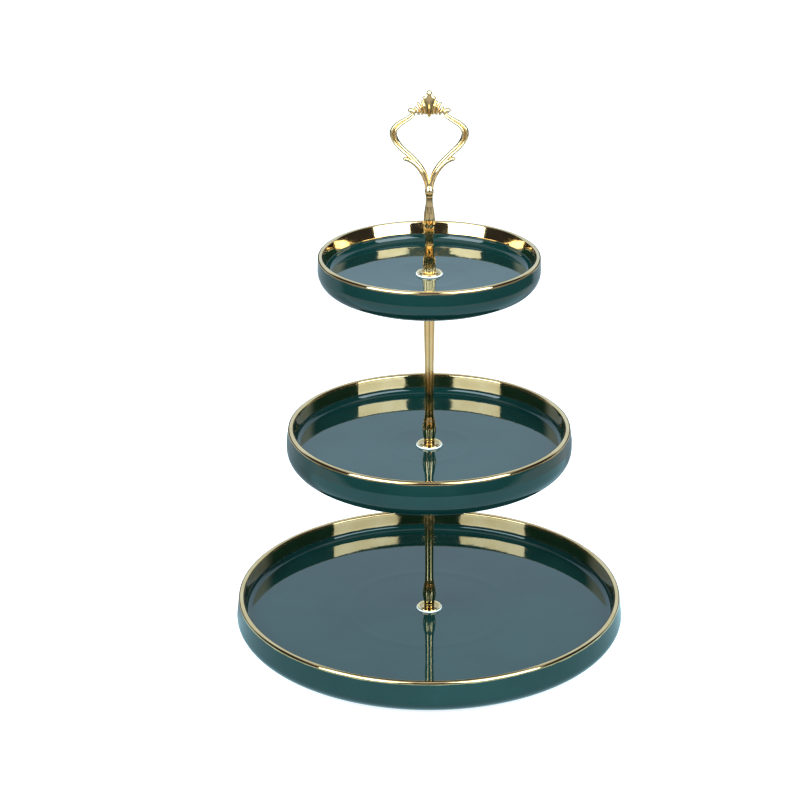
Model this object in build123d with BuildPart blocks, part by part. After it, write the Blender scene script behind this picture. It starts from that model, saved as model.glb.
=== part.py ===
# Three-tier cake stand: three glazed plates clamped on a screwed stem with a crown handle on top.
# Millimetres, +Z up the stem. The origin is on the table, under the centre of the bottom plate.
# The crown's loop lies in the XZ plane, so +X runs across the loop.
from build123d import *
import os
from math import cos, radians, sin

os.makedirs("parts", exist_ok=True)

# ---- driving dimensions -------------------------------------------------------------------------
# Plates: heights are above the table, radii are from the stem's axis.
PLATES = {
    "bottom_plate": dict(
        foot_z=0.0, base_z=2.0, rim_z=30.5, lip_r=134.6, lip_width=3.9, lean=0, widest_r=136.35,
        corner_w=29.0, corner_h=13.6, edge_z=15.4, seat_z=16.2,
    ),
    "middle_plate": dict(
        foot_z=127.1, base_z=129.1, rim_z=157.4, lip_r=97.1, lip_width=3.9, lean=0, widest_r=98.5,
        corner_w=15.5, corner_h=13.7, edge_z=142.8, seat_z=142.1,
    ),
    "top_plate": dict(
        foot_z=256.0, base_z=258.0, rim_z=280.7, lip_r=74.7, lip_width=3.2, lean=2.5, widest_r=75.1,
        corner_w=12.3, corner_h=12.8, edge_z=267.6, seat_z=266.8,
    ),
}
LEAN_DEPTH = 8.5          # height over which the inside of the wall leans out towards the lip
FLOOR_FILLET = 4.5        # where the wall meets the plate's floor
BASE_FLOOR_T = 6.2        # thickness of the bottom plate at its centre hole
SEAT_R = 13.0             # flat seat for the washers round the centre hole
PLATE_HOLE_R = 4.5
FOOT_WIDTH = 5.0          # radial width of the foot ring
FOOT_INSET = 1.0          # step between the wall's corner and the foot ring
LIP_OUTER_FILLET = 1.3
LIP_INNER_FILLET = 1.2
LEAN_FILLET = 6.0         # where the leaning part of the wall meets the upright part
SEAT_FILLET = 8.0
HOLE_EDGE_FILLET = 0.7
UNDERSIDE_FILLET = 3.0    # between the underside and the foot ring
FOOT_FILLET = 0.8
STEP_FILLET = 0.3

# Stem hardware: M5 studs and screw through soft washers and dished metal discs.
THREAD_R = 2.45
BORE_R = 2.5
ENGAGEMENT = 10.0         # length of thread inside a rod or the handle
ROD_LENGTH = 116.0
WASHER_R = 9.0
WASHER_T = 0.9
WASHER_EDGE = 0.35
DISC_R = 8.4
DISC_T = 0.8
DISC_WEB_T = 0.5          # thickness of a disc inside its raised edge
DISC_RIM_W = 1.0          # flat top of the raised edge
DISC_SLOPE_W = 1.6        # slope from the raised edge down to the web
CLEARANCE_R = 2.75        # hole of a washer or a disc round the M5 thread
STACK_T = WASHER_T + DISC_WEB_T
STUD_END_GAP = 0.6        # between a stud's end and the bottom of its hole
THREAD_CHAMFER = 0.5
SCREW_HEAD_R = 4.75
SCREW_HEAD_H = 3.0
SCREW_HEAD_FILLET = 1.6
DRIVE_LENGTH = 5.2        # cross recess of the screw's head
DRIVE_WIDTH = 1.1
DRIVE_DEPTH = 1.7
METAL_WASHER_R = 7.5
METAL_WASHER_T = 1.0
METAL_WASHER_EDGE = 0.2

# Rods: radius and height above the rod's foot, from the rounded foot over the swelling to the top.
ROD_FOOT_R = 4.05
ROD_FOOT_H = 0.8          # short upright stretch at the foot
ROD_TOP_R = 4.3
ROD_WAIST = (3.75, 2.6)
ROD_SWELLING = (4.95, 10.5)
ROD_NECK = (3.3, 21.0)
ROD_SLIMMEST = (3.1, 36.0)
ROD_TAPER = [(3.5, 66.0), (3.95, 86.0)]

# Crown handle: heights are above its base, distances across are from the stem's axis.
HANDLE_BELL_R = 4.6
HANDLE_BELL_H = 0.8       # short upright stretch at the bell's foot
HANDLE_BELL_SIDE = (4.05, 7.5)
HANDLE_WAIST = [(2.75, 19.5), (2.95, 27.5)]
HANDLE_SWELLING = (3.87, 37.0)
HANDLE_NECK = [(2.6, 46.5), (2.45, 53.5)]
HANDLE_BEAD = [(3.0, 56.6), (2.3, 59.0)]
FORK_SHOULDER = (2.6, 61.0)
FORK_TIP_H = 64.0         # where the stem ends between the two arms
LOOP_HALF_WIDTH = 23.6    # centre line of the arm where the loop is widest
LOOP_WIDEST_H = 94.9
ARM_START = (1.3, 58.5)
ARM_RISE = (9.0, 77.3)    # the arm's turning points, from the stem to the crest
ARM_REACH = (18.2, 86.0)
ARM_SHOULDER = (20.2, 102.2)
ARM_END = (11.0, 108.4)
SCROLL = [(8.0, 75.5), (12.0, 79.0), (16.4, 79.8), (16.6, 78.0), (12.0, 76.4), (8.8, 73.5)]
SCROLL_THICKNESS = 2.6
SCROLL_BALL = (16.4, 78.9)
SCROLL_BALL_R = 1.35
CREST_H = 108.3           # bottom of the leaf crest
TIP_H = 125.3
ARM_ACROSS = 4.3          # an arm's section in the plane of the loop
ARM_DEPTH = 4.4           # and square to it
CREST_DEPTH = 4.6
CREST_BALL = (12.2, 111.6)
CREST_BALL_R = 1.9
SIDE_PETALS = [(19, 13.6, 2.4), (40, 12.0, 2.2), (64, 12.3, 1.9)]  # lean in degrees, length, half width
MIDDLE_PETAL = (0, TIP_H - CREST_H, 3.2)

# The stem's pieces stand on each other, so the plates' undersides follow from the rods' length.
seat_z = {name: sizes["seat_z"] for name, sizes in PLATES.items()}
lower_rod_z = seat_z["bottom_plate"] + STACK_T
upper_rod_z = seat_z["middle_plate"] + STACK_T
handle_z = seat_z["top_plate"] + STACK_T
under_z = {
    "bottom_plate": seat_z["bottom_plate"] - BASE_FLOOR_T,
    "middle_plate": lower_rod_z + ROD_LENGTH + STACK_T,
    "top_plate": upper_rod_z + ROD_LENGTH + STACK_T,
}


# ---- plates -------------------------------------------------------------------------------------
def make_plate(name, p):
    """A plate turned from one half section: foot ring, rounded corner, upright wall, lip and floor."""
    base_r = p["widest_r"] - p["corner_w"]
    foot_r = base_r - FOOT_INSET
    lip_in = p["lip_r"] - p["lip_width"]
    wall_r = lip_in - p["lean"]
    lean_end = [((wall_r, p["rim_z"] - LEAN_DEPTH), LEAN_FILLET)] if p["lean"] else []
    outline = [
        ((p["lip_r"], p["rim_z"]), LIP_OUTER_FILLET),
        ((lip_in, p["rim_z"]), LIP_INNER_FILLET),
        *lean_end,
        ((wall_r, p["edge_z"]), FLOOR_FILLET),
        ((SEAT_R, seat_z[name]), SEAT_FILLET),
        ((PLATE_HOLE_R, seat_z[name]), HOLE_EDGE_FILLET),
        ((PLATE_HOLE_R, under_z[name]), HOLE_EDGE_FILLET),
        ((foot_r - FOOT_WIDTH, under_z[name]), UNDERSIDE_FILLET),
        ((foot_r - FOOT_WIDTH, p["foot_z"]), FOOT_FILLET),
        ((foot_r, p["foot_z"]), FOOT_FILLET),
        ((foot_r, p["base_z"]), STEP_FILLET),
    ]
    with BuildPart() as plate:
        with BuildSketch(Plane.XZ):
            with BuildLine():
                corner = EllipticalCenterArc(
                    center=(base_r, p["base_z"] + p["corner_h"]),
                    x_radius=p["corner_w"],
                    y_radius=p["corner_h"],
                    start_angle=270,
                    arc_size=90,
                )
                points = [corner @ 1] + [point for point, _ in outline] + [corner @ 0]
                FilletPolyline(*points, radius=[radius for _, radius in outline])
            make_face()
        revolve(axis=Axis.Z)
    plate.part.label = name
    export_step(plate.part, f"parts/{name}.step")


for plate_name, plate_sizes in PLATES.items():
    make_plate(plate_name, plate_sizes)


# ---- washers and discs --------------------------------------------------------------------------
def make_ring(name, z, outer_r, inner_r, thickness, edge_r):
    """A flat ring with rounded outer edges, lying on height z."""
    with BuildPart() as ring:
        with BuildSketch(Plane.XY.offset(z)):
            Circle(outer_r)
            Circle(inner_r, mode=Mode.SUBTRACT)
        extrude(amount=thickness)
        fillet(ring.edges().filter_by(GeomType.CIRCLE).group_by(SortBy.RADIUS)[-1], radius=edge_r)
    ring.part.label = name
    export_step(ring.part, f"parts/{name}.step")


def make_disc(name, z, facing):
    """A dished metal disc; its raised edge faces up for facing 1 and down for facing -1."""
    flat = z if facing > 0 else z + DISC_T

    def level(height):
        return flat + facing * height

    with BuildPart() as disc:
        with BuildSketch(Plane.XZ):
            with BuildLine():
                section = FilletPolyline(
                    (CLEARANCE_R, level(0)),
                    (DISC_R, level(0)),
                    (DISC_R, level(DISC_T)),
                    (DISC_R - DISC_RIM_W, level(DISC_T)),
                    (DISC_R - DISC_RIM_W - DISC_SLOPE_W, level(DISC_WEB_T)),
                    (CLEARANCE_R, level(DISC_WEB_T)),
                    radius=[0.2, 0.3, 0.5, 1.0],
                )
                Line(section @ 1, section @ 0)
            make_face()
        revolve(axis=Axis.Z)
    disc.part.label = name
    export_step(disc.part, f"parts/{name}.step")


# One soft washer lies against each face of a plate, with a disc between it and the stem.
for plate_name in PLATES:
    tier = plate_name.split("_")[0]
    lower_z = under_z[plate_name] - WASHER_T
    make_ring(f"{tier}_upper_gasket", seat_z[plate_name], WASHER_R, CLEARANCE_R, WASHER_T, WASHER_EDGE)
    make_ring(f"{tier}_lower_gasket", lower_z, WASHER_R, CLEARANCE_R, WASHER_T, WASHER_EDGE)
    disc_name = "handle_disc" if tier == "top" else f"{tier}_upper_disc"
    make_disc(disc_name, seat_z[plate_name] + WASHER_T, 1)
    if tier != "bottom":
        make_disc(f"{tier}_lower_disc", lower_z - DISC_T, -1)


# ---- rods ---------------------------------------------------------------------------------------
def make_rod(name, foot_z):
    """A baluster-turned rod with a threaded hole in each end, standing on height foot_z."""
    top_z = foot_z + ROD_LENGTH
    shape = [ROD_WAIST, ROD_SWELLING, ROD_NECK, ROD_SLIMMEST, *ROD_TAPER]
    with BuildPart() as rod:
        with BuildSketch(Plane.XZ):
            with BuildLine():
                foot = Line((ROD_FOOT_R, foot_z), (ROD_FOOT_R, foot_z + ROD_FOOT_H))
                side = Spline(
                    foot @ 1,
                    *[(radius, foot_z + height) for radius, height in shape],
                    (ROD_TOP_R, top_z - 1.0),
                    tangents=[(-1, 1.2), (0, 1)],
                )
                Polyline(side @ 1, (ROD_TOP_R, top_z), (0, top_z), (0, foot_z), foot @ 0)
            make_face()
        revolve(axis=Axis.Z)
        with Locations(rod.faces().sort_by(Axis.Z)[0], rod.faces().sort_by(Axis.Z)[-1]):
            Hole(radius=BORE_R, depth=ENGAGEMENT)
    rod.part.label = name
    export_step(rod.part, f"parts/{name}.step")


make_rod("lower_rod", lower_rod_z)
make_rod("upper_rod", upper_rod_z)


# ---- studs and base screw -----------------------------------------------------------------------
def make_stud(name, low_z, high_z):
    """A headless threaded stud with chamfered ends."""
    with BuildPart() as stud:
        with BuildSketch(Plane.XY.offset(low_z)):
            Circle(THREAD_R)
        extrude(amount=high_z - low_z)
        chamfer(stud.edges().filter_by(GeomType.CIRCLE), length=THREAD_CHAMFER)
    stud.part.label = name
    export_step(stud.part, f"parts/{name}.step")


stud_reach = ENGAGEMENT - STUD_END_GAP
make_stud("lower_stud", lower_rod_z + ROD_LENGTH - stud_reach, upper_rod_z + stud_reach)
make_stud("upper_stud", upper_rod_z + ROD_LENGTH - stud_reach, handle_z + stud_reach)

metal_washer_z = under_z["bottom_plate"] - WASHER_T - METAL_WASHER_T
make_ring(
    "base_metal_washer", metal_washer_z, METAL_WASHER_R, CLEARANCE_R, METAL_WASHER_T, METAL_WASHER_EDGE
)

with BuildPart() as base_screw:
    with BuildSketch(Plane.XY.offset(metal_washer_z - SCREW_HEAD_H)):
        Circle(SCREW_HEAD_R)
    extrude(amount=SCREW_HEAD_H)
    fillet(base_screw.edges().sort_by(Axis.Z)[0], radius=SCREW_HEAD_FILLET)
    with BuildSketch(Plane.XY.offset(metal_washer_z)):
        Circle(THREAD_R)
    extrude(amount=lower_rod_z + stud_reach - metal_washer_z)
    chamfer(base_screw.edges().filter_by(GeomType.CIRCLE).sort_by(Axis.Z)[-1], length=THREAD_CHAMFER)
    with BuildSketch(Plane.XY.offset(metal_washer_z - SCREW_HEAD_H)):
        Rectangle(DRIVE_LENGTH, DRIVE_WIDTH)
        Rectangle(DRIVE_WIDTH, DRIVE_LENGTH)
    extrude(amount=DRIVE_DEPTH, mode=Mode.SUBTRACT)
base_screw.part.label = "base_screw"
export_step(base_screw.part, "parts/base_screw.step")


# ---- crown handle -------------------------------------------------------------------------------
def on_handle(x, height):
    """A point of the handle's own plane, as coordinates on the XZ plane."""
    return (x, handle_z + height)


def mirrored_pair(x, height):
    """The two places at equal distances from the stem's axis, at a height above the handle's base."""
    return [(side * x, 0, handle_z + height) for side in (-1, 1)]


with BuildPart() as crown_handle:
    # Turned stem: bell foot, waist, swelling, neck and bead.
    with BuildSketch(Plane.XZ):
        with BuildLine():
            stem_side = Spline(
                on_handle(HANDLE_BELL_R, HANDLE_BELL_H),
                on_handle(*HANDLE_BELL_SIDE),
                *[on_handle(*point) for point in HANDLE_WAIST],
                on_handle(*HANDLE_SWELLING),
                *[on_handle(*point) for point in HANDLE_NECK],
                tangents=[(-0.4, 1), (0, 1)],
            )
            bead = ThreePointArc(stem_side @ 1, *[on_handle(*point) for point in HANDLE_BEAD])
            Polyline(
                bead @ 1,
                on_handle(*FORK_SHOULDER),
                on_handle(0, FORK_TIP_H),
                on_handle(0, 0),
                on_handle(HANDLE_BELL_R, 0),
                stem_side @ 0,
            )
        make_face()
    revolve(axis=Axis.Z)
    # One arm of the loop: out of the stem, round the widest place and up to the crest.
    with BuildLine(Plane.XZ) as arm:
        rise = TangentArc(on_handle(*ARM_START), on_handle(*ARM_RISE), tangent=(0.02, 1))
        reach = TangentArc(rise @ 1, on_handle(*ARM_REACH), tangent=rise % 1)
        bend = TangentArc(reach @ 1, on_handle(LOOP_HALF_WIDTH, LOOP_WIDEST_H), tangent=reach % 1)
        turn = TangentArc(bend @ 1, on_handle(*ARM_SHOULDER), tangent=bend % 1)
        TangentArc(turn @ 1, on_handle(*ARM_END), tangent=turn % 1)
    with BuildSketch(Plane(origin=arm.line @ 0, x_dir=(1, 0, 0), z_dir=arm.line % 0)):
        Ellipse(ARM_ACROSS / 2, ARM_DEPTH / 2)
    sweep(path=arm.line)
    mirror(about=Plane.YZ)
    # Small scroll that curls out of each arm below the widest place.
    with BuildSketch(Plane.XZ):
        for side in (-1, 1):
            with BuildLine():
                Polyline(*[on_handle(side * x, height) for x, height in SCROLL], close=True)
            make_face()
    extrude(amount=SCROLL_THICKNESS / 2, both=True)
    with Locations(mirrored_pair(*SCROLL_BALL)):
        Sphere(SCROLL_BALL_R)
    # Leaf crest: petals fanned from the bottom centre, with a ball at each end.
    with BuildSketch(Plane.XZ):
        for lean, length, half_width in [MIDDLE_PETAL, *SIDE_PETALS]:
            for side in (-1, 1):
                middle = length / 2
                along = radians(side * lean)
                with Locations(on_handle(middle * sin(along), CREST_H + middle * cos(along))):
                    Ellipse(half_width, length / 2, rotation=-side * lean)
    extrude(amount=CREST_DEPTH / 2, both=True)
    with Locations(mirrored_pair(*CREST_BALL)):
        Sphere(CREST_BALL_R)
    with Locations(Plane((0, 0, handle_z), z_dir=(0, 0, -1))):
        Hole(radius=BORE_R, depth=ENGAGEMENT)
crown_handle.part.label = "crown_handle"
export_step(crown_handle.part, "parts/crown_handle.step")
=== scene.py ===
from math import acos, cos, exp, pi, radians, sin, sqrt, tan

import bpy
import numpy as np
from mathutils import Matrix, Vector


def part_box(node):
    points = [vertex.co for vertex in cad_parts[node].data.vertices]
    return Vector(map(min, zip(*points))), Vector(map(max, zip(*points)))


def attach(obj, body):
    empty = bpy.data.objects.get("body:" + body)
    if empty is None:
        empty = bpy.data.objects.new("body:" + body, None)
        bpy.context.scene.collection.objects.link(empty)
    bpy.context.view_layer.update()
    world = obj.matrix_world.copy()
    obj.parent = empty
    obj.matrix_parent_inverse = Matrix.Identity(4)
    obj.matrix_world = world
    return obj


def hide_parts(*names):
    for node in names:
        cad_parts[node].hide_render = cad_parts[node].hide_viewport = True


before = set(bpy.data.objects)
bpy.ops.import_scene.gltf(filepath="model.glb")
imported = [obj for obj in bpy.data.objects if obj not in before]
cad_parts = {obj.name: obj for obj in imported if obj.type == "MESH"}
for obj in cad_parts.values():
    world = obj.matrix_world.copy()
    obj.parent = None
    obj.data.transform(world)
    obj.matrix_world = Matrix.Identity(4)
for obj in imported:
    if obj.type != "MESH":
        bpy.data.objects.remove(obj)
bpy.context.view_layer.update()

MM = 0.001
FRONT = -pi / 2            # the angle round the stem that faces the camera
SCENE = bpy.context.scene
COLLECTION = SCENE.collection

# Colours are linear. Outlines and sizes are in millimetres and meshes in metres.
GOLD = (0.90, 0.68, 0.35)
GOLD_DEEP = (0.86, 0.60, 0.28)
# Painted shade: the gold's colour where shade falls in its hollows and grooves.
GOLD_PAINTED_SHADE = (0.26, 0.14, 0.04)
LUSTRE = (0.74, 0.53, 0.28)
LUSTRE_DEEP = (0.66, 0.45, 0.21)
GLAZE_GREEN = (0.0024, 0.0222, 0.0190)
GLAZE_POOLED = (0.0039, 0.0315, 0.0270)
GLAZE_SPECK = (0.0008, 0.009, 0.008)
BARE_CLAY = (0.52, 0.47, 0.40)


def top_of(node):
    """Height of a CAD node's highest point."""
    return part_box(node)[1].z / MM


def foot_of(node):
    """Height of a CAD node's lowest point."""
    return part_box(node)[0].z / MM


def radius_of(node):
    """Largest radius of a turned CAD node."""
    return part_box(node)[1].x / MM


# ---- outlines and turned shapes -----------------------------------------------------------------
def rounded(points, radii, arc_steps):
    """Open outline of (r, z) points with each inner corner rounded by its own radius."""
    out = [points[0]]
    for before, corner, after, radius in zip(points, points[1:], points[2:], radii):
        c = np.array(corner, float)
        u = np.array(before, float) - c
        v = np.array(after, float) - c
        reach = min(np.linalg.norm(u), np.linalg.norm(v))
        u /= np.linalg.norm(u)
        v /= np.linalg.norm(v)
        half = acos(max(-1.0, min(1.0, float(u @ v)))) / 2
        cut = min(radius / tan(half), reach * 0.98)
        radius = cut * tan(half)
        start, end = c + u * cut, c + v * cut
        centre = c + (u + v) / np.linalg.norm(u + v) * radius / sin(half)
        for i in range(arc_steps + 1):
            t = i / arc_steps
            spoke = (start - centre) * (1 - t) + (end - centre) * t
            out.append(tuple(centre + spoke / np.linalg.norm(spoke) * radius))
    out.append(points[-1])
    return out


def ellipse_arc(centre, half_r, half_z, start, end, steps):
    """Points of an ellipse between two angles in degrees, counted from +r towards +z."""
    angles = [radians(start + (end - start) * i / steps) for i in range(steps + 1)]
    return [(centre[0] + half_r * cos(a), centre[1] + half_z * sin(a)) for a in angles]


def subdivided(outline, longest):
    """The outline with extra points so that no stretch is much longer than the given length."""
    out = [outline[0]]
    for a, b in zip(outline, outline[1:]):
        run, rise = b[0] - a[0], b[1] - a[1]
        steps = max(1, round(sqrt(run**2 + rise**2) / longest))
        out += [(a[0] + run * i / steps, a[1] + rise * i / steps) for i in range(1, steps + 1)]
    return out


def smooth_curve(points, steps):
    """Points of a Catmull-Rom curve through the given points."""
    pts = [np.array(p, float) for p in points]
    pts = [2 * pts[0] - pts[1]] + pts + [2 * pts[-1] - pts[-2]]
    out = []
    for a, b, c, d in zip(pts, pts[1:], pts[2:], pts[3:]):
        for t in (i / steps for i in range(steps)):
            linear = (c - a) * t
            square = (2 * a - 5 * b + 4 * c - d) * t**2
            cube = (3 * b - a - 3 * c + d) * t**3
            out.append(0.5 * (2 * b + linear + square + cube))
    return out + [pts[-2]]


def mesh_object(name, verts, faces, material):
    """A smooth-shaded mesh object in the row frame."""
    mesh = bpy.data.meshes.new(name)
    mesh.from_pydata([tuple(v) for v in verts], [], faces)
    mesh.validate()
    mesh.shade_smooth()
    mesh.materials.append(material)
    obj = bpy.data.objects.new(name, mesh)
    COLLECTION.objects.link(obj)
    return obj


def band(first, second, count):
    """Quads between two closed rows of vertices, given by the number of each row's first vertex."""
    faces = []
    for k in range(count):
        n = (k + 1) % count
        faces.append((first + k, first + n, second + n, second + k))
    return faces


def lathe(name, outline, segments, material, ring=True, shape=None):
    """Turns an (r, z) outline round the stem's axis.

    A ring's outline closes on itself. Otherwise the outline starts and ends on the axis.
    shape(angle, r, z) may return a changed (r, z) for each point.
    """
    body = outline if ring else outline[1:-1]
    rows = len(body)
    verts = []
    for r, z in body:
        for k in range(segments):
            a = 2 * pi * k / segments
            rr, zz = shape(a, r, z) if shape else (r, z)
            verts.append((rr * cos(a) * MM, rr * sin(a) * MM, zz * MM))
    faces = []
    for i in range(rows if ring else rows - 1):
        faces += band(i * segments, (i + 1) % rows * segments, segments)
    if not ring:
        low, high = len(verts), len(verts) + 1
        for r, z in (outline[0], outline[-1]):
            verts.append((0, 0, (shape(0, r, z)[1] if shape else z) * MM))
        for k in range(segments):
            n = (k + 1) % segments
            faces.append((low, n, k))
            faces.append((high, (rows - 1) * segments + k, (rows - 1) * segments + n))
    return mesh_object(name, verts, faces, material)


def add_attribute(obj, name, values):
    """Stores one number per vertex on the mesh."""
    layer = obj.data.attributes.new(name, "FLOAT", "POINT")
    layer.data.foreach_set("value", np.asarray(values, np.float32))


# ---- materials ----------------------------------------------------------------------------------
class Nodes:
    """Small helper that adds and links the shader nodes of a material or of the world."""

    def __init__(self, owner):
        owner.use_nodes = True
        self.owner = owner
        self.tree = owner.node_tree

    def add(self, kind, **settings):
        node = self.tree.nodes.new(kind)
        for key, value in settings.items():
            setattr(node, key, value)
        return node

    def link(self, source, target):
        self.tree.links.new(source, target)

    def feed(self, socket, value):
        """Gives a socket a number, a colour or the output of another node."""
        if isinstance(value, (int, float)):
            socket.default_value = value
        elif isinstance(value, tuple):
            socket.default_value = (*value, 1)
        else:
            self.link(value, socket)

    def coordinates(self):
        return self.add("ShaderNodeTexCoord").outputs["Object"]

    def split(self, vector):
        """The three components of a vector, by the names X, Y and Z."""
        node = self.add("ShaderNodeSeparateXYZ")
        self.link(vector, node.inputs[0])
        return node.outputs

    def seen_by_camera(self):
        return self.add("ShaderNodeLightPath").outputs["Is Camera Ray"]

    def noise(self, scale, detail=3.0, roughness=0.5, vector=None):
        node = self.add("ShaderNodeTexNoise")
        node.inputs["Scale"].default_value = scale
        node.inputs["Detail"].default_value = detail
        node.inputs["Roughness"].default_value = roughness
        self.link(vector or self.coordinates(), node.inputs["Vector"])
        return node.outputs["Fac"]

    def attribute(self, name):
        return self.add("ShaderNodeAttribute", attribute_name=name).outputs["Fac"]

    def math(self, operation, a, b):
        node = self.add("ShaderNodeMath", operation=operation)
        self.feed(node.inputs[0], a)
        self.feed(node.inputs[1], b)
        return node.outputs[0]

    def remap(self, value, low, high, to_low, to_high, smooth=False):
        node = self.add("ShaderNodeMapRange", clamp=True)
        node.interpolation_type = "SMOOTHSTEP" if smooth else "LINEAR"
        self.link(value, node.inputs["Value"])
        for key, number in (("From Min", low), ("From Max", high), ("To Min", to_low), ("To Max", to_high)):
            node.inputs[key].default_value = number
        return node.outputs["Result"]

    def ease(self, value, low, high):
        """A soft step from 0 to 1 while a value goes from low to high."""
        return self.remap(value, low, high, 0.0, 1.0, smooth=True)

    def mix_colour(self, factor, a, b):
        node = self.add("ShaderNodeMix", data_type="RGBA")
        self.link(factor, node.inputs[0])
        self.feed(node.inputs[6], a)
        self.feed(node.inputs[7], b)
        return node.outputs[2]

    def mix_value(self, factor, a, b):
        node = self.add("ShaderNodeMix", data_type="FLOAT")
        self.link(factor, node.inputs[0])
        self.feed(node.inputs[2], a)
        self.feed(node.inputs[3], b)
        return node.outputs[0]

    def bump(self, height, distance, strength=1.0, normal=None):
        node = self.add("ShaderNodeBump")
        node.inputs["Distance"].default_value = distance
        node.inputs["Strength"].default_value = strength
        self.link(height, node.inputs["Height"])
        if normal is not None:
            self.link(normal, node.inputs["Normal"])
        return node.outputs["Normal"]

    def surface(self, **values):
        """Feeds the material's principled shader and returns the finished material."""
        shader = next(n for n in self.tree.nodes if n.type == "BSDF_PRINCIPLED")
        for key, value in values.items():
            self.feed(shader.inputs[key.replace("_", " ")], value)
        return self.owner


def material_nodes(name):
    """The nodes of a new material."""
    return Nodes(bpy.data.materials.new(name))


def glazed_gold_rim():
    """Deep green gloss glaze with a fired gold lustre band over the lip and a bare foot ring."""
    n = material_nodes("green_glaze")
    wobble = n.remap(n.noise(90.0, 4.0), 0.3, 0.7, -0.28, 0.28)
    in_gold = n.math("ADD", n.attribute("gold_mm"), wobble)
    gold = n.ease(in_gold, -0.05, 0.05)
    bare = n.ease(n.attribute("bare_mm"), -0.1, 0.1)
    pooled = n.remap(n.noise(22.0, 5.0, 0.55), 0.35, 0.7, 0.0, 1.0)
    green = n.mix_colour(pooled, GLAZE_GREEN, GLAZE_POOLED)
    specks = n.remap(n.noise(1400.0, 2.0), 0.70, 0.78, 0.0, 0.35)
    green = n.mix_colour(specks, green, GLAZE_SPECK)
    lustre = n.mix_colour(n.remap(n.noise(60.0, 3.0), 0.35, 0.65, 0.0, 1.0), LUSTRE, LUSTRE_DEEP)
    coated = n.mix_colour(bare, n.mix_colour(gold, green, lustre), BARE_CLAY)
    gloss = n.remap(n.noise(35.0, 3.0), 0.3, 0.7, 0.012, 0.035)
    gold_gloss = n.remap(n.noise(160.0, 4.0), 0.3, 0.7, 0.03, 0.10)
    rough = n.mix_value(bare, n.mix_value(gold, gloss, gold_gloss), 0.75)
    ripple = n.bump(n.noise(38.0, 2.0), 0.00022, 0.35)
    brushed = n.bump(n.noise(420.0, 3.0), 0.00003, 0.30, ripple)
    return n.surface(Base_Color=coated, Metallic=gold, Roughness=rough, Normal=brushed, IOR=1.5)


def drawn_streaks(n, normal):
    """Fine streaks along the height of a drawn rod, on top of another normal."""
    stretch = n.add("ShaderNodeMapping")
    stretch.inputs["Scale"].default_value = (1.0, 1.0, 0.05)
    n.link(n.coordinates(), stretch.inputs["Vector"])
    lines = n.noise(1500.0, 3.0, 0.6, stretch.outputs["Vector"])
    return n.bump(lines, 0.00012, 0.5, normal)


def gold_plating(name, gloss, peel_scale, peel_depth, streaks=False):
    """Gold plating with painted shade in its hollows and grooves: gloss is its range of roughness, the peel
    its faint waviness.
    """
    n = material_nodes(name)
    tone = n.remap(n.noise(70.0, 4.0), 0.35, 0.65, 0.0, 1.0)
    # Painted shade in the hollows, where the mesh is least pointy.
    raised = n.remap(n.add("ShaderNodeNewGeometry").outputs["Pointiness"], 0.40, 0.495, 0.0, 1.0)
    tint = n.mix_colour(raised, GOLD_PAINTED_SHADE, n.mix_colour(tone, GOLD, GOLD_DEEP))
    # Painted shade in grooves, flutes and dishes, from a mask stored on each piece.
    tint = n.mix_colour(n.attribute("painted_shade_mask"), tint, GOLD_PAINTED_SHADE)
    waves = n.bump(n.noise(peel_scale, 3.0), peel_depth, 0.35)
    if streaks:
        waves = drawn_streaks(n, waves)
    return n.surface(
        Base_Color=tint,
        Metallic=1.0,
        Roughness=n.remap(n.noise(260.0, 4.0), 0.3, 0.7, *gloss),
        Normal=n.bump(n.noise(2600.0, 2.0), 0.000012, 0.30, waves),
    )


def white_plastic():
    """Soft moulded washer, off-white."""
    n = material_nodes("white_washer")
    tone = n.remap(n.noise(300.0, 3.0), 0.3, 0.7, 0.0, 1.0)
    return n.surface(
        Base_Color=n.mix_colour(tone, (0.86, 0.86, 0.84), (0.93, 0.93, 0.92)),
        Roughness=n.remap(n.noise(500.0, 3.0), 0.3, 0.7, 0.32, 0.45),
        Normal=n.bump(n.noise(1500.0, 3.0), 0.00002, 0.4),
        IOR=1.45,
    )


def zinc_steel():
    """Zinc-plated steel of the screw, studs and plain washer."""
    n = material_nodes("zinc_steel")
    tone = n.remap(n.noise(500.0, 4.0), 0.3, 0.7, 0.0, 1.0)
    return n.surface(
        Base_Color=n.mix_colour(tone, (0.62, 0.62, 0.60), (0.74, 0.74, 0.73)),
        Metallic=1.0,
        Roughness=n.remap(n.noise(900.0, 4.0), 0.3, 0.7, 0.22, 0.42),
        Normal=n.bump(n.noise(2400.0, 3.0), 0.00002, 0.5),
    )


GLAZE = glazed_gold_rim()
GOLD_TURNED = gold_plating("gold_turned", (0.03, 0.10), 160.0, 0.00005)
GOLD_DRAWN = gold_plating("gold_drawn", (0.08, 0.18), 160.0, 0.00005, streaks=True)
GOLD_CAST = gold_plating("gold_cast", (0.06, 0.16), 340.0, 0.00009)
WHITE = white_plastic()
STEEL = zinc_steel()


def place(piece, node, body):
    """Puts a finished piece in for its CAD node."""
    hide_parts(node)
    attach(piece, body)


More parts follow.
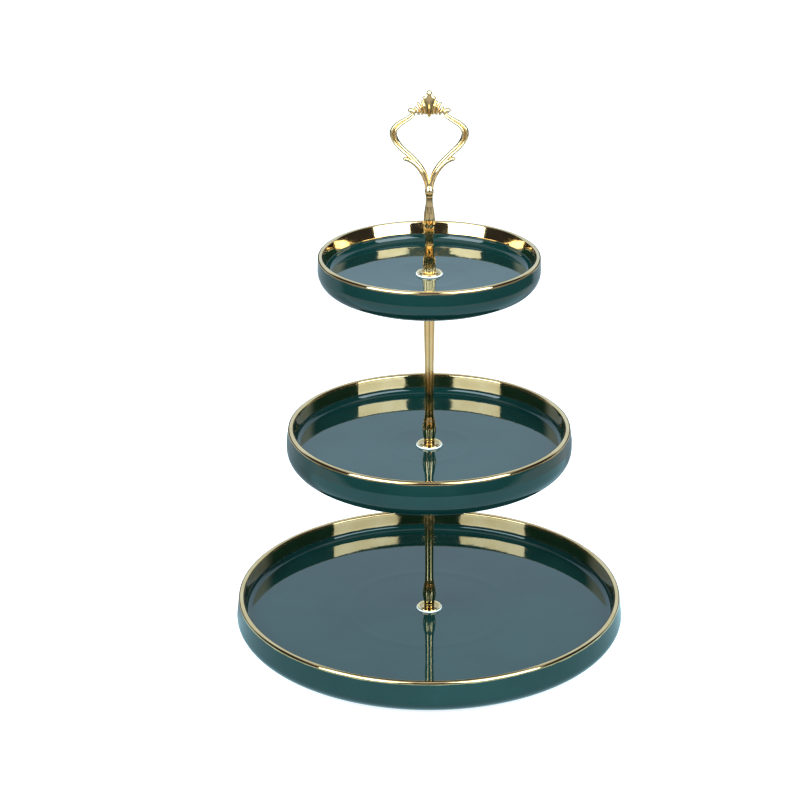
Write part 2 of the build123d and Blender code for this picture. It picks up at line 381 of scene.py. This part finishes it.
# ---- plates -------------------------------------------------------------------------------------
# lip: radius of the rim's outside; lean: how far the wall leans inwards below the lip;
# corner: half width and height of the rounded corner outside, and upright: straight wall above it;
# edge_z: where the wall meets the floor; gold_in: how far the gold runs down the inside;
# ring_r and ring_rise: radius and height of the faint ring in the floor.
PLATES = {
    "bottom": dict(
        body="base", lip=134.6, lip_width=3.9, lean=0.0, corner=(29.0, 13.6), upright=0.0,
        edge_z=15.4, gold_in=10.6, ring_r=57.0, ring_rise=0.10,
    ),
    "middle": dict(
        body="middle_tier", lip=97.1, lip_width=3.9, lean=0.0, corner=(15.5, 13.7), upright=4.7,
        edge_z=142.8, gold_in=10.0, ring_r=29.0, ring_rise=0.06,
    ),
    "top": dict(
        body="top_tier", lip=74.7, lip_width=3.2, lean=2.5, corner=(12.3, 12.8), upright=0.0,
        edge_z=267.6, gold_in=8.3, ring_r=26.0, ring_rise=0.05,
    ),
}
SEAT_R = 13.0
SEAT_FILLET = 8.0
HOLE_R = 4.5
HOLE_FILLET = 0.7
FOOT_WIDTH = 5.0
FOOT_INSET = 1.0
FOOT_HEIGHT = 2.0
FOOT_FILLET = 0.8
UNDERSIDE_FILLET = 3.0
STEP_FILLET = 0.3
UPRIGHT_BEND = 3.0
LEAN_DEPTH = 8.5
LEAN_FILLET = 6.0
FLOOR_FILLET = 4.5
LIP_OUTER_SHARE = 0.49     # of the lip's width, taken up by its outer rounding
LIP_INNER_SHARE = 0.45
GOLD_OUT = 2.0             # how far the gold runs down the outside of the lip
FAR_FROM_GOLD = -5.0
GLAZE_LINE = 0.55          # height above the foot ring's face where the glaze starts
WARP = 0.16                # firing warp: an oval part and a five-sided part
RIPPLE = 0.05
RING_WIDTH = 2.5
PLATE_SEGMENTS = 320
CORNER_STEPS = 24


def plate_levels(tier, p):
    """Heights and radii of one plate, read from its CAD node and its washers."""
    node = f"{tier}_plate"
    foot = foot_of(node)
    base_r = radius_of(node) - p["corner"][0]
    lip_in = p["lip"] - p["lip_width"]
    return dict(
        widest=radius_of(node), rim=top_of(node), foot=foot, base=foot + FOOT_HEIGHT,
        seat=foot_of(f"{tier}_upper_gasket"), under=top_of(f"{tier}_lower_gasket"),
        base_r=base_r, foot_r=base_r - FOOT_INSET, lip_in=lip_in, wall=lip_in - p["lean"],
    )


def plate_outline(p, at):
    """Closed outline of a plate, from its outer corner over the lip, the floor and the foot ring."""
    corner_w, corner_h = p["corner"]
    wall_foot = at["base"] + corner_h
    foot_in = at["foot_r"] - FOOT_WIDTH
    corner = ellipse_arc((at["base_r"], wall_foot), corner_w, corner_h, -90, 0, CORNER_STEPS)
    upright = [((at["widest"], wall_foot + p["upright"]), UPRIGHT_BEND)] if p["upright"] else []
    leaning = [((at["wall"], at["rim"] - LEAN_DEPTH), LEAN_FILLET)] if p["lean"] else []
    path = [
        (corner[-1], 0),
        *upright,
        ((p["lip"], at["rim"]), p["lip_width"] * LIP_OUTER_SHARE),
        ((at["lip_in"], at["rim"]), p["lip_width"] * LIP_INNER_SHARE),
        *leaning,
        ((at["wall"], p["edge_z"]), FLOOR_FILLET),
        ((SEAT_R, at["seat"]), SEAT_FILLET),
        ((HOLE_R, at["seat"]), HOLE_FILLET),
        ((HOLE_R, at["under"]), HOLE_FILLET),
        ((foot_in, at["under"]), UNDERSIDE_FILLET),
        ((foot_in, at["foot"]), FOOT_FILLET),
        ((at["foot_r"], at["foot"]), FOOT_FILLET),
        ((at["foot_r"], at["base"]), STEP_FILLET),
        (corner[0], 0),
    ]
    turned = rounded([point for point, _ in path], [radius for _, radius in path[1:-1]], 9)
    return corner[:-1] + subdivided(turned, 2.2)[:-1]


def gold_at(r, z, p, at):
    """Distance in millimetres from a point into the gold band, negative outside it."""
    if z <= at["base"] + 1:
        return FAR_FROM_GOLD
    inside = r < p["lip"] - p["lip_width"] / 2
    return (p["gold_in"] if inside else GOLD_OUT) - (at["rim"] - z)


def bare_at(r, z, at):
    """Distance in millimetres from a point into the foot ring's bare face, negative outside it."""
    margin = 0.2
    across_ring = at["foot_r"] - FOOT_WIDTH - margin < r < at["foot_r"] + margin
    on_foot = z < at["foot"] + 0.9 and across_ring
    return at["foot"] + GLAZE_LINE - z if on_foot else -1.0


def glazed_plate(tier, p):
    """A turned plate with a crowned lip, a step above its foot ring and a faint ring in its floor."""
    at = plate_levels(tier, p)
    outline = plate_outline(p, at)
    floor_low = at["seat"] - 1.5
    floor_high = max(at["seat"], p["edge_z"]) + 0.5

    def fired(angle, r, z):
        """Slight warp from firing, always inwards, and the floor's faint ring."""
        out = min(1.0, r / at["widest"])
        oval = (1 + sin(2 * angle + 0.7)) / 2
        five_sided = (1 + sin(5 * angle + 2.1)) / 2
        warp = out**3 * (WARP * oval + RIPPLE * five_sided)
        is_floor = floor_low < z < floor_high and r < at["wall"] - 3
        lift = p["ring_rise"] * exp(-(((r - p["ring_r"]) / RING_WIDTH) ** 2)) if is_floor else 0.0
        return r - warp, z + lift

    plate = lathe(f"{tier}_plate_glazed", outline, PLATE_SEGMENTS, GLAZE, shape=fired)
    gold = [gold_at(r, z, p, at) for r, z in outline]
    bare = [bare_at(r, z, at) for r, z in outline]
    add_attribute(plate, "gold_mm", np.repeat(gold, PLATE_SEGMENTS))
    add_attribute(plate, "bare_mm", np.repeat(bare, PLATE_SEGMENTS))
    place(plate, f"{tier}_plate", p["body"])


for tier, sizes in PLATES.items():
    glazed_plate(tier, sizes)


# ---- discs and washers --------------------------------------------------------------------------
RING_HOLE_R = 2.75         # hole of the discs and washers, round a stud
RING_SEGMENTS = 96
DISC_RIM_H = 0.8
DISC_RIM_W = 0.75
DISC_WEB_H = 0.5
DISC_WEB_R = 4.4
TROUGH_R = 4.75            # deepest ring of a disc's dish
TROUGH_H = 0.14
DISC_PAINTED_SHADE = 0.55           # strength of the painted shade in the dish, standing in for its dark reflection
DISH_R = 4.5               # where that painted shade starts, and its distance from the disc's edge
DISH_EDGE = 1.3
WASHER_EDGE = 0.4
WASHER_HOLE_EDGE = 0.15


def polished_disc(node, body, facing):
    """A dished disc with a rolled edge, its raised edge facing up for 1 and down for -1."""
    radius = radius_of(node)
    flat = foot_of(node) if facing > 0 else top_of(node)
    profile = [
        (RING_HOLE_R, 0.0), (radius, 0.0), (radius, DISC_RIM_H), (radius - DISC_RIM_W, DISC_RIM_H),
        (TROUGH_R, TROUGH_H), (DISC_WEB_R, DISC_WEB_H), (RING_HOLE_R, DISC_WEB_H),
    ]
    path = [(r, flat + facing * height) for r, height in profile]
    outline = subdivided(rounded(path, [0.25, 0.3, 0.3, 0.3, 0.15], 6), 0.8)
    disc = lathe(f"{node}_polished", outline, RING_SEGMENTS, GOLD_TURNED)
    # Painted shade on the dish, standing in for its dark reflection.
    painted_shade = [
        DISC_PAINTED_SHADE if DISH_R < r < radius - DISH_EDGE and abs(z - flat) > 0.05 else 0.0
        for r, z in outline
    ]
    add_attribute(disc, "painted_shade_mask", np.repeat(painted_shade, RING_SEGMENTS))
    place(disc, node, body)


def soft_washer(node):
    """A soft washer with rounded edges."""
    low, high = foot_of(node), top_of(node)
    radius = radius_of(node)
    middle = (RING_HOLE_R, (low + high) / 2)
    path = [middle, (RING_HOLE_R, low), (radius, low), (radius, high), (RING_HOLE_R, high), middle]
    edges = [WASHER_HOLE_EDGE, WASHER_EDGE, WASHER_EDGE, WASHER_HOLE_EDGE]
    outline = subdivided(rounded(path, edges, 5)[:-1], 1.0)
    washer = lathe(f"{node}_soft", outline, RING_SEGMENTS, WHITE)
    place(washer, node, "stem")


for tier in PLATES:
    soft_washer(f"{tier}_upper_gasket")
    soft_washer(f"{tier}_lower_gasket")
polished_disc("bottom_upper_disc", "stem", 1)
polished_disc("middle_upper_disc", "stem", 1)
polished_disc("handle_disc", "handle_seat", 1)
polished_disc("middle_lower_disc", "stem", -1)
polished_disc("top_lower_disc", "stem", -1)


# ---- rods ---------------------------------------------------------------------------------------
BORE_R = 2.5
BORE_DEPTH = 10.0
ROD_SEGMENTS = 168
ROD_FLUTES = 8
FLUTE_DEPTH = 0.05         # share of the radius that a flute takes away
SWELLING_DEPTH = 0.04      # and what it takes more on the swelling
SWELLING_H = 10.0          # the swelling's height above the rod's foot, and its reach
SWELLING_REACH = 6.0
ROD_PAINTED_SHADE = 0.7             # strength of the painted shade in the flutes
ROD_FOOT = [(4.02, 0.9), (3.76, 2.6), (4.35, 6.0), (4.93, 10.5), (4.35, 15.5), (3.35, 21.0)]
ROD_SHAFT = [(3.08, 28.0), (3.12, 42.0), (3.45, 64.0), (3.85, 84.0)]


def flute_cut(angle):
    """0 on the ridges and 1 in the grooves of a rod's flutes, with a groove in front."""
    return 0.5 + 0.5 * cos(ROD_FLUTES * (angle - FRONT))


def turned_rod(node):
    """A baluster rod with a rounded foot, a swelling above it and a threaded hole in each end."""
    low = foot_of(node)
    length = top_of(node) - low
    side = smooth_curve(ROD_FOOT + ROD_SHAFT + [(4.25, length - 2.0), (4.28, length - 0.5)], 8)
    outline = [(0, BORE_DEPTH), (BORE_R, BORE_DEPTH), (BORE_R, 0), (3.8, 0), (4.02, 0.2)]
    outline += [tuple(p) for p in side]
    outline += [(4.1, length), (BORE_R, length), (BORE_R, length - BORE_DEPTH), (0, length - BORE_DEPTH)]

    def fluted(angle, r, z):
        """Fine flutes along the rod, deeper over the swelling."""
        if r <= BORE_R:
            return r, low + z
        swelling = exp(-(((z - SWELLING_H) / SWELLING_REACH) ** 2))
        cut = (FLUTE_DEPTH + SWELLING_DEPTH * swelling) * flute_cut(angle)
        return r * (1 - cut), low + z

    rod = lathe(f"{node}_turned", outline, ROD_SEGMENTS, GOLD_DRAWN, ring=False, shape=fluted)
    # Painted shade in the flutes, deepest in their middles.
    painted_shade = [ROD_PAINTED_SHADE * flute_cut(2 * pi * k / ROD_SEGMENTS) ** 4 for k in range(ROD_SEGMENTS)]
    add_attribute(rod, "painted_shade_mask", painted_shade * (len(outline) - 2) + [0.0, 0.0])
    place(rod, node, "stem")


turned_rod("lower_rod")
turned_rod("upper_rod")


# ---- crown handle: its stem ---------------------------------------------------------------------
HANDLE_Z = foot_of("crown_handle")
STEM_SEGMENTS = 192
STEM_PAINTED_SHADE = 0.85           # strength of the painted shade between the lobes
# Radius and height above the handle's foot.
BELL = [(4.58, 0.6), (4.42, 3.5), (4.0, 8.5), (3.5, 13.5), (3.1, 17.0), (2.78, 19.4), (2.62, 20.4)]
WAIST = [(2.7, 22.0), (2.85, 26.5), (3.0, 30.5), (3.05, 32.4)]
BUD = [(3.45, 33.2), (3.72, 34.4), (3.87, 37.3), (3.62, 40.8), (3.1, 44.3), (2.62, 47.2), (2.42, 49.6)]
BEAD = [(2.4, 53.0), (2.6, 53.9), (2.95, 55.4), (3.0, 56.6), (2.8, 57.9), (2.4, 58.8)]


def lobe_cut(angle):
    """1 in the six grooves between the stem's lobes, one of them in front, easing to 0 on the lobes."""
    return 1 - abs(sin(3 * (angle - FRONT))) ** 0.6


def rib_cut(angle):
    """0 on the ridges and 1 in the grooves of the stem's sixteen fine ribs."""
    return 0.5 - 0.5 * cos(16 * (angle - FRONT))


def between(z, low, high, edge):
    """1 between two heights, easing to 0 over a distance beyond them."""
    return max(0.0, min(1.0, (z - low) / edge + 1, (high - z) / edge + 1))


def stem_shape(angle, r, z):
    """Lobes on the bud and the bell, and fine ribs on the bell and the waist."""
    in_bore = r <= BORE_R and z <= BORE_DEPTH
    if in_bore or z < 0.1:
        return r, z + HANDLE_Z
    on_bud, on_bell = 0.15 * between(z, 36.0, 43.0, 5.0), 0.10 * between(z, 2.0, 14.0, 6.0)
    ribbed = 0.055 * between(z, 0.5, 15.0, 4.0) + 0.06 * between(z, 22.0, 31.0, 1.5)
    cut = (on_bud + on_bell) * lobe_cut(angle) + ribbed * rib_cut(angle)
    return r * (1 - cut), z + HANDLE_Z


def fluted_stem():
    """The handle's stem: a fluted bell, a slim ribbed waist, a bud of six lobes, a neck and a bead."""
    side = smooth_curve(BELL + WAIST + BUD + BEAD, 8)
    outline = [(0, BORE_DEPTH), (BORE_R, BORE_DEPTH), (BORE_R, 0), (4.3, 0), (4.5, 0.2)]
    outline += [tuple(p) for p in side] + [(2.3, 60.0), (1.6, 61.0), (0, 61.2)]
    stem = lathe("handle_stem", outline, STEM_SEGMENTS, GOLD_CAST, ring=False, shape=stem_shape)
    angles = [2 * pi * k / STEM_SEGMENTS for k in range(STEM_SEGMENTS)]
    # Painted shade between the lobes of the bud and the bell.
    painted_shade = []
    for _, z in outline[1:-1]:
        reach = between(z, 34.0, 44.0, 3.0) + between(z, 1.0, 15.0, 3.0)
        painted_shade += [STEM_PAINTED_SHADE * reach * lobe_cut(a) ** 3 for a in angles]
    add_attribute(stem, "painted_shade_mask", painted_shade + [0.0, 0.0])
    return stem


# ---- crown handle: its loop and crest -----------------------------------------------------------
# Points of the XZ plane as (x, z), on the right-hand side.
ARM_SPINE = [
    (0.9, 324.5), (1.7, 331.0), (3.5, 337.0), (6.3, 342.0), (9.9, 346.4), (13.9, 350.4), (18.0, 354.2),
    (21.2, 358.0), (23.1, 361.8), (23.5, 365.0), (22.3, 368.1), (19.3, 371.0), (15.4, 373.5),
    (12.0, 375.8), (10.2, 377.4),
]
# At each point of the spine: half the gap of the two strands, and each strand's half sizes.
ARM_GAP = [0.2, 0.3, 0.5, 0.6, 0.7, 0.8, 0.95, 1.1, 1.25, 1.25, 1.1, 0.95, 0.85, 0.75, 0.6]
ARM_OUTER = [1.5, 1.5, 1.2, 1.0, 1.0, 1.05, 1.1, 1.15, 1.25, 1.25, 1.15, 1.05, 0.95, 0.9, 0.8]
ARM_INNER = [1.5, 1.5, 1.45, 1.35, 1.2, 1.1, 1.05, 1.1, 1.15, 1.2, 1.15, 1.0, 0.95, 0.9, 0.8]
ARM_DEEP = [1.9, 2.0, 2.1, 2.0, 1.9, 1.8, 1.9, 2.1, 2.3, 2.3, 2.2, 2.0, 1.9, 1.8, 1.6]
OUTER_DEPTH_SHARE = 0.92
LEAF_SPINE = [
    (1.8, 328.5), (3.1, 334.0), (5.4, 338.9), (8.4, 342.7), (11.6, 345.2), (14.2, 346.5), (15.9, 347.1),
]
LEAF_ACROSS = [1.1, 1.5, 1.7, 1.6, 1.35, 1.3, 1.2]
LEAF_DEEP = [1.6, 2.3, 2.4, 2.3, 2.0, 1.8, 1.6]
# Height and half width of the crest's middle leaf.
MIDDLE_LEAF = [
    (375.9, 0.8), (377.5, 1.5), (380.0, 2.2), (382.5, 2.9), (385.0, 3.5), (386.8, 3.9), (388.3, 3.9),
    (389.7, 2.9), (391.3, 1.6),
]
VOXEL = 0.17
SOFTENING_ROUNDS = 3


def skin(name, sections):
    """A closed cast piece over a row of sections that have the same number of points."""
    count = len(sections[0])
    last = (len(sections) - 1) * count
    faces = []
    for i in range(len(sections) - 1):
        faces += band(i * count, (i + 1) * count, count)
    faces.append(tuple(range(count - 1, -1, -1)))
    faces.append(tuple(last + k for k in range(count)))
    verts = [(x * MM, y * MM, z * MM) for section in sections for x, y, z in section]
    return mesh_object(name, verts, faces, GOLD_CAST)


def tube(name, centres, half_across, half_deep):
    """A closed tube along points of the XZ plane, with the section's half sizes at each point."""
    sides = 28
    pts = [np.array((x, 0.0, z)) for x, z in centres]
    sections = []
    for i, p in enumerate(pts):
        ahead = pts[min(i + 1, len(pts) - 1)] - pts[max(i - 1, 0)]
        ahead /= np.linalg.norm(ahead)
        across = np.array((ahead[2], 0.0, -ahead[0])) * half_across[i]
        deep = np.array((0.0, half_deep[i], 0.0))
        angles = [2 * pi * k / sides for k in range(sides)]
        sections.append([p + across * cos(a) + deep * sin(a) for a in angles])
    return skin(name, sections)


def offset_path(path, distances):
    """The path moved sideways in the XZ plane by a distance at each point."""
    pts = np.array(path, float)
    ahead = np.gradient(pts, axis=0)
    ahead /= np.linalg.norm(ahead, axis=1)[:, None]
    return pts + np.column_stack((ahead[:, 1], -ahead[:, 0])) * np.array(distances)[:, None]


def along(values, count):
    """Spreads a few values evenly over a number of points."""
    return np.interp(np.linspace(0, 1, count), np.linspace(0, 1, len(values)), values)


def ball(name, centre, half_sizes, lean=0.0):
    """A small ellipsoid, leaned in the XZ plane by an angle in degrees from the vertical."""
    rows = 14
    outline = [(sin(pi * i / rows), -cos(pi * i / rows)) for i in range(rows + 1)]
    sphere = lathe(name, outline, 24, GOLD_CAST, ring=False)
    sized = Matrix.Diagonal((*half_sizes, 1))
    leaned = Matrix.Rotation(radians(lean), 4, "Y")
    moved = Matrix.Translation((centre[0] * MM, 0, centre[1] * MM))
    sphere.data.transform(moved @ leaned @ sized)
    return sphere


def mirrored(points, side):
    """The points as they are for side 1, and mirrored to the left for side -1."""
    return [(side * x, z) for x, z in points]


def loop_arm(side):
    """One arm of the loop: two strands side by side that merge where they leave the stem."""
    spine = smooth_curve(mirrored(ARM_SPINE, side), 6)
    count = len(spine)
    gap = along(ARM_GAP, count) * side
    deep = along(ARM_DEEP, count)
    outer = tube("arm_outer", offset_path(spine, gap), along(ARM_OUTER, count), deep * OUTER_DEPTH_SHARE)
    inner = tube("arm_inner", offset_path(spine, -gap), along(ARM_INNER, count), deep)
    return [outer, inner]


def scroll_leaf(side):
    """The leaf that clasps the lower arm and curls outwards into a small scroll."""
    spine = smooth_curve(mirrored(LEAF_SPINE, side), 7)
    count = len(spine)
    return [
        tube("leaf", spine, along(LEAF_ACROSS, count), along(LEAF_DEEP, count)),
        ball("scroll", (side * 15.6, 347.1), (1.75, 1.9, 1.4), side * 10),
        ball("scroll_notch", (side * 13.2, 348.6), (0.9, 1.5, 0.7)),
    ]


def middle_leaf():
    """The crest's upright leaf: pointed at its foot, full above, with a raised vein down its middle."""
    steps = 40
    sections = []
    for z, half in smooth_curve(MIDDLE_LEAF, 5):
        section = []
        for a in (2 * pi * k / steps for k in range(steps)):
            x = cos(a)
            vein = 0.7 * exp(-((x / 0.13) ** 2))
            slope = 1.75 - 1.15 * abs(x) ** 1.3
            depth = (slope + vein) * min(1.0, 3 * abs(sin(a)))
            section.append((half * x, depth if sin(a) >= 0 else -depth, z))
        sections.append(section)
    return skin("middle_leaf", sections)


def crest_bar(side, foot, head, half_across, half_deep):
    """One rounded bar of the crest's fan, from its foot to its head, bowed towards the middle."""
    bow = ((foot[0] + head[0]) / 2 - 0.35, (foot[1] + head[1]) / 2)
    path = smooth_curve(mirrored([foot, bow, head], side), 6)
    across = along([0.8, 1.0, 1.05, 0.7], len(path)) * half_across
    deep = along([0.8, 1.0, 1.0, 0.8], len(path)) * half_deep
    return tube("flute", path, across, deep)


def crest():
    """Leaf crest: a lobed leaf, three bars fanned out on each side of it, and a ball at each end."""
    pieces = [
        middle_leaf(),
        ball("crest_tip", (0, 391.3), (1.8, 1.8, 2.15)),
        ball("crest_foot", (0, 376.6), (1.15, 2.3, 1.2)),
    ]
    for side in (-1, 1):
        pieces += [
            ball("lobe", (side * 3.1, 388.3), (1.5, 1.7, 1.25), side * 35),
            crest_bar(side, (2.3, 377.3), (5.0, 386.2), 1.15, 2.05),
            crest_bar(side, (4.5, 377.1), (7.1, 384.4), 1.1, 2.0),
            ball("flute_knob", (side * 7.3, 384.6), (0.95, 1.6, 0.95)),
            crest_bar(side, (6.8, 376.9), (9.3, 382.1), 1.1, 1.95),
            ball("crest_ball", (side * 12.05, 379.95), (1.95, 1.95, 1.75)),
            ball("crest_drop", (side * 10.2, 379.0), (1.5, 1.8, 2.0), side * 15),
        ]
    return pieces


def join(objects, name):
    """Joins mesh objects into one."""
    bpy.ops.object.select_all(action="DESELECT")
    for obj in objects:
        obj.select_set(True)
    bpy.context.view_layer.objects.active = objects[0]
    bpy.ops.object.join()
    objects[0].name = name
    return objects[0]


def fuse_and_soften(piece):
    """Melts overlapping shells into one skin and rounds off the creases between them."""
    fuse = piece.modifiers.new("fuse", "REMESH")
    fuse.mode = "VOXEL"
    fuse.voxel_size = VOXEL * MM
    fuse.use_smooth_shade = True
    soften = piece.modifiers.new("soften", "SMOOTH")
    soften.factor = 0.5
    soften.iterations = SOFTENING_ROUNDS
    bpy.context.view_layer.objects.active = piece
    for modifier in ("fuse", "soften"):
        bpy.ops.object.modifier_apply(modifier=modifier)


def crown_handle():
    """The handle: the loop and crest are fused as one casting, on top of the fluted stem."""
    pieces = crest()
    for side in (-1, 1):
        pieces += loop_arm(side) + scroll_leaf(side)
    loop = join(pieces, "crown_loop")
    fuse_and_soften(loop)
    for piece in (loop, fluted_stem()):
        place(piece, "crown_handle", "handle")


crown_handle()

# ---- pieces whose CAD shape stays ---------------------------------------------------------------
for node in ("lower_stud", "upper_stud", "base_screw", "base_metal_washer"):
    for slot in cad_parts[node].material_slots:
        slot.material = STEEL


# ---- stage, light and camera --------------------------------------------------------------------
FLOOR_HALF = 12.0
FLOOR_SEEN = (0.86, 0.87, 0.88)
FLOOR_GLOW_SEEN = (0.75, 0.75, 0.75)
FLOOR_UNSEEN = (0.02, 0.02, 0.02)
# Painted reflection, glowing from the floor in all rays but the camera's: how bright the table and its
# surroundings look in the glaze, by distance in metres, with painted shade behind the stand.
TABLE_EDGE = (0.43, 0.49)
FRONT_GAP = (0.78, 0.88)
BEYOND = (0.95, 1.50)
TABLE_FRONT = (0.55, 0.90, 1.05)
TABLE_BACK = (0.32, 0.42, 0.48)
FRONT_NEAR = (0.70, 0.74, 0.76)
FRONT_DARK = (0.05, 0.052, 0.055)
FRONT_FAR = (0.48, 0.52, 0.56)
BACK_NEAR = (0.45, 0.56, 0.64)
BACK_FAR = (0.08, 0.08, 0.08)
ROOM_DIM = (0.035, 0.038, 0.042)
ROOM_BACK = (0.80, 1.06, 1.30)
ROOM_ABOVE = (0.75, 0.82, 0.88)
PLAIN_WHITE = (1.0, 1.0, 1.0)
SOFTBOX_TINT = (0.80, 1.0, 1.10)
SOFTBOX_SIZE = (1.35, 1.45)
SOFTBOX_POWER = 44
SOFTBOX_DISTANCE = 1.75
SOFTBOX_ELEVATION = 34
AIM = Vector((0, 0, 0.16))
LENS = 106.8
SHIFT = -0.0366            # moves the stand right of the middle
CAMERA_BACK = 1.5027
CAMERA_HEIGHT = 0.7956
CAMERA_TILT = 22.423       # degrees downwards


def painted_table_glow(n):
    """Painted reflection that the floor glows with for the glaze to mirror: a painted pool of light round
    the stand, dark further out.
    """
    where = n.coordinates()
    distance = n.add("ShaderNodeVectorMath", operation="LENGTH")
    n.link(where, distance.inputs[0])
    outwards = n.add("ShaderNodeVectorMath", operation="NORMALIZE")
    n.link(where, outwards.inputs[0])
    parts = n.split(outwards.outputs["Vector"])
    far = n.ease(distance.outputs["Value"], *TABLE_EDGE)
    beyond = n.ease(distance.outputs["Value"], *BEYOND)
    turned = n.math("SUBTRACT", parts["Y"], n.math("MULTIPLY", parts["X"], 0.28))
    behind = n.ease(turned, 0.30, 0.50)
    gap = n.ease(distance.outputs["Value"], *FRONT_GAP)
    front = n.mix_colour(beyond, n.mix_colour(gap, FRONT_NEAR, FRONT_DARK), FRONT_FAR)
    back = n.mix_colour(beyond, BACK_NEAR, BACK_FAR)
    surroundings = n.mix_colour(behind, front, back)
    near = n.mix_colour(behind, TABLE_FRONT, TABLE_BACK)
    return n.mix_colour(far, near, surroundings)


def stage_floor():
    """A plain pale floor, white to the camera, that glows in other rays with a painted reflection of the
    table it stands for.
    """
    n = material_nodes("floor")
    # Painted reflection: a glow that only reflections and other non-camera rays see.
    painted_glow = painted_table_glow(n)
    seen = n.seen_by_camera()
    material = n.surface(
        Base_Color=n.mix_colour(seen, FLOOR_UNSEEN, FLOOR_SEEN),
        Roughness=0.9,
        Specular_IOR_Level=0.1,
        Emission_Color=n.mix_colour(seen, painted_glow, FLOOR_GLOW_SEEN),
        Emission_Strength=1.0,
    )
    corners = [(x * FLOOR_HALF, y * FLOOR_HALF, 0) for x, y in ((-1, -1), (1, -1), (1, 1), (-1, 1))]
    mesh_object("floor", corners, [(0, 1, 2, 3)], material)


def softbox(name, azimuth):
    """A large area light aimed at the stand; azimuth 0 is in front of it."""
    a, e = radians(azimuth), radians(SOFTBOX_ELEVATION)
    away = Vector((sin(a) * cos(e), -cos(a) * cos(e), sin(e)))
    light = bpy.data.lights.new(name, "AREA")
    light.shape = "RECTANGLE"
    light.size, light.size_y = SOFTBOX_SIZE
    light.energy = SOFTBOX_POWER
    light.color = SOFTBOX_TINT
    obj = bpy.data.objects.new(name, light)
    obj.location = AIM + away * SOFTBOX_DISTANCE
    obj.rotation_euler = (-away).to_track_quat("-Z", "Y").to_euler()
    obj.visible_camera = False
    COLLECTION.objects.link(obj)


def studio_world():
    """Surroundings: bright behind the stand and overhead, dim in front of it, plain to the camera."""
    SCENE.world = bpy.data.worlds.new("studio")
    n = Nodes(SCENE.world)
    n.tree.nodes.clear()
    parts = n.split(n.add("ShaderNodeTexCoord").outputs["Generated"])
    back = n.ease(parts["Y"], 0.40, 0.62)
    lifted = n.ease(parts["Z"], 0.16, 0.26)
    overhead = n.ease(parts["Z"], 0.72, 0.90)
    room = n.mix_colour(n.math("MULTIPLY", back, lifted), ROOM_DIM, ROOM_BACK)
    room = n.mix_colour(overhead, room, ROOM_ABOVE)
    background = n.add("ShaderNodeBackground")
    n.link(n.mix_colour(n.seen_by_camera(), room, PLAIN_WHITE), background.inputs["Color"])
    n.link(background.outputs[0], n.add("ShaderNodeOutputWorld").inputs[0])


def camera():
    """In front, looking down at the stand, which stands right of the middle of the view."""
    data = bpy.data.cameras.new("camera")
    data.sensor_width = 36.0
    data.lens = LENS
    data.shift_x = SHIFT
    data.clip_end = 60.0
    obj = bpy.data.objects.new("camera", data)
    obj.location = (0, -CAMERA_BACK, CAMERA_HEIGHT)
    obj.rotation_euler = (radians(90 - CAMERA_TILT), 0, 0)
    COLLECTION.objects.link(obj)
    SCENE.camera = obj


stage_floor()
softbox("softbox_left", -43.5)
softbox("softbox_right", 43.5)
studio_world()
camera()
SCENE.view_settings.view_transform = "Standard"
